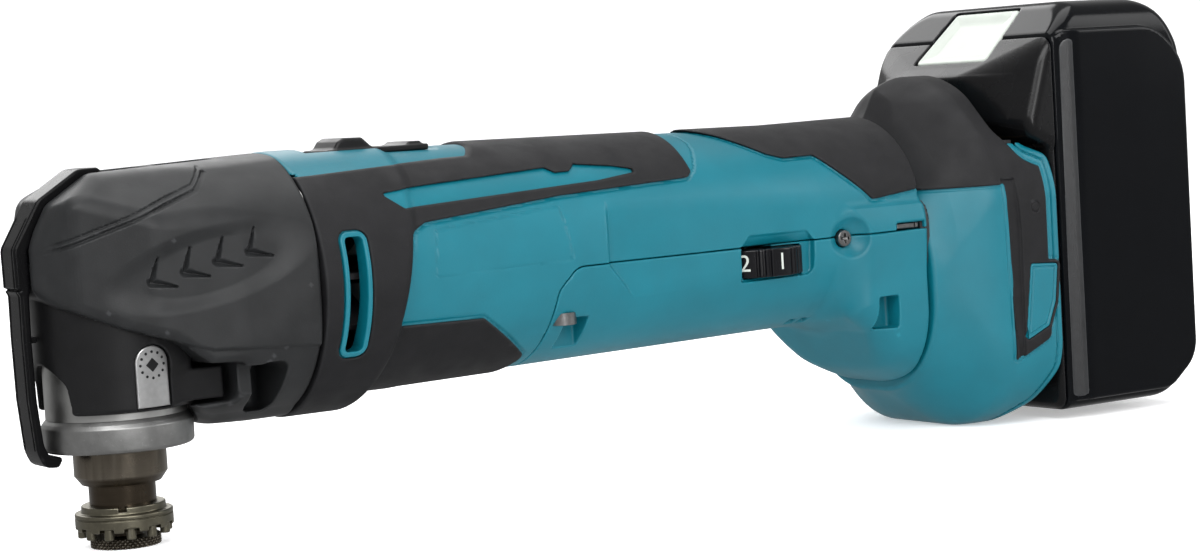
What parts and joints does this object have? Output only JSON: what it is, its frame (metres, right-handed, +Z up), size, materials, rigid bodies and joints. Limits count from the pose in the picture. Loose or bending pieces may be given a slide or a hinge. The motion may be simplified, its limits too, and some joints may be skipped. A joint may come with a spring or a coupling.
{
  "type": "cordless oscillating multi-tool",
  "caption": "Cordless oscillating multi-tool with a lever-released pin clamp, slide switch, speed dial and slide-on battery pack.",
  "frame": {"origin": "on the spindle axis, in the face that the accessory seats on", "axes": "+X towards the battery, +Z up along the spindle axis, Y across; Y = 0 is the plane of symmetry"},
  "size_m": [0.337, 0.0756, 0.1163],
  "materials": {
    "teal_plastic": "satin moulded plastic with a fine grain",
    "black_rubber": "matte moulded rubber",
    "black_plastic": "satin moulded plastic",
    "gloss_black": "polished",
    "white_plastic": "satin moulded plastic",
    "cast_aluminium": "blasted casting",
    "badge_metal": "satin foil",
    "hardened_steel": "turned and oiled",
    "nickel_steel": "sintered, nickel tone",
    "bright_steel": "ground",
    "screw_steel": "zinc plated",
    "forged_steel": "sintered",
    "motor_steel": "zinc plated sheet",
    "magnet": "ferrite",
    "copper": "turned copper",
    "contact_brass": "stamped",
    "carbon": "pressed carbon",
    "inner_plastic": "moulded plastic",
    "circuit_board": "coated board",
    "wire": "insulated wire",
    "cell_wrap": "shrink wrap"
  },
  "bodies": {
    "tool_body": {"front_housing": "teal_plastic", "lower_housing": "teal_plastic", "rear_housing": "teal_plastic", "front_grip": "black_rubber", "handle_grip": "black_rubber", "rear_grip": "black_rubber", "vent_frames": "teal_plastic", "rear_badges": "teal_plastic", "seam_clips": "screw_steel", "head_housing": "black_plastic", "neck_cover": "black_plastic", "interface_badges": "badge_metal", "gear_housing": "cast_aluminium", "bearing_retainer": "cast_aluminium", "spindle_upper_bearing": "bright_steel", "spindle_lower_bearing": "bright_steel", "lever_pin": "bright_steel", "motor_bracket": "cast_aluminium", "motor_can": "motor_steel", "field_magnets": "magnet", "front_motor_bearing": "bright_steel", "rear_motor_bearing": "bright_steel", "brush_holder": "inner_plastic", "carbon_brushes": "carbon", "switch_unit": "inner_plastic", "control_board": "circuit_board", "dial_control": "inner_plastic", "battery_rails": "black_plastic", "terminal_block": "inner_plastic", "terminal_blades": "contact_brass", "lead_wires": "wire", "head_screws": "screw_steel", "housing_screws": "screw_steel", "side_screw": "screw_steel"},
    "spindle": {"spindle": "hardened_steel", "tool_holder": "nickel_steel", "swing_fork": "forged_steel", "clamp_spring": "bright_steel"},
    "clamp": {"clamp_shaft": "hardened_steel"},
    "lever": {"lock_lever": "black_plastic"},
    "rotor": {"motor_shaft": "bright_steel", "armature": "motor_steel", "commutator": "copper", "cooling_fan": "inner_plastic", "eccentric_bearing": "bright_steel"},
    "switch": {"switch_slide": "black_plastic", "switch_rod": "inner_plastic"},
    "dial": {"speed_dial": "black_plastic"},
    "battery": {"battery_case": "gloss_black", "battery_cover": "gloss_black", "battery_cells": "cell_wrap", "battery_contacts": "contact_brass"},
    "release_button": {"battery_button": "white_plastic"}
  },
  "joints": [
    {"name": "spindle_swing", "type": "hinge", "parent": "tool_body", "child": "spindle", "pos_m": [0, 0, 0.04], "axis": [0, 0, 1], "range_deg": [-1.6, 1.6]},
    {"name": "clamp_slide", "type": "slide", "parent": "spindle", "child": "clamp", "axis": [0, 0, -1], "range_m": [0, 0.0049], "stiffness_N_per_m": 2000, "springref_m": -0.001, "deforming": ["clamp_spring"]},
    {"name": "lever_swing", "type": "hinge", "parent": "tool_body", "child": "lever", "pos_m": [-0.003, 0, 0.0735], "axis": [0, 1, 0], "range_deg": [0, 110]},
    {"name": "motor_spin", "type": "hinge", "parent": "tool_body", "child": "rotor", "pos_m": [0.08, 0, 0.0545], "axis": [1, 0, 0], "continuous": true},
    {"name": "switch_travel", "type": "slide", "parent": "tool_body", "child": "switch", "axis": [-1, 0, 0], "range_m": [0, 0.006]},
    {"name": "dial_turn", "type": "hinge", "parent": "tool_body", "child": "dial", "pos_m": [0.174, -0.0152, 0.047], "axis": [0, 0, 1], "range_deg": [0, 225]},
    {"name": "battery_travel", "type": "slide", "parent": "tool_body", "child": "battery", "axis": [0, 0, 1], "range_m": [0, 0.075]},
    {"name": "button_press", "type": "slide", "parent": "battery", "child": "release_button", "axis": [0.6587, 0, -0.7524], "range_m": [0, 0.003], "stiffness_N_per_m": 500, "springref_m": -0.002}
  ],
  "couplings": [
    {"joint": "lever_swing", "follows": "clamp_slide", "rad_per_m": 391.8}
  ]
}
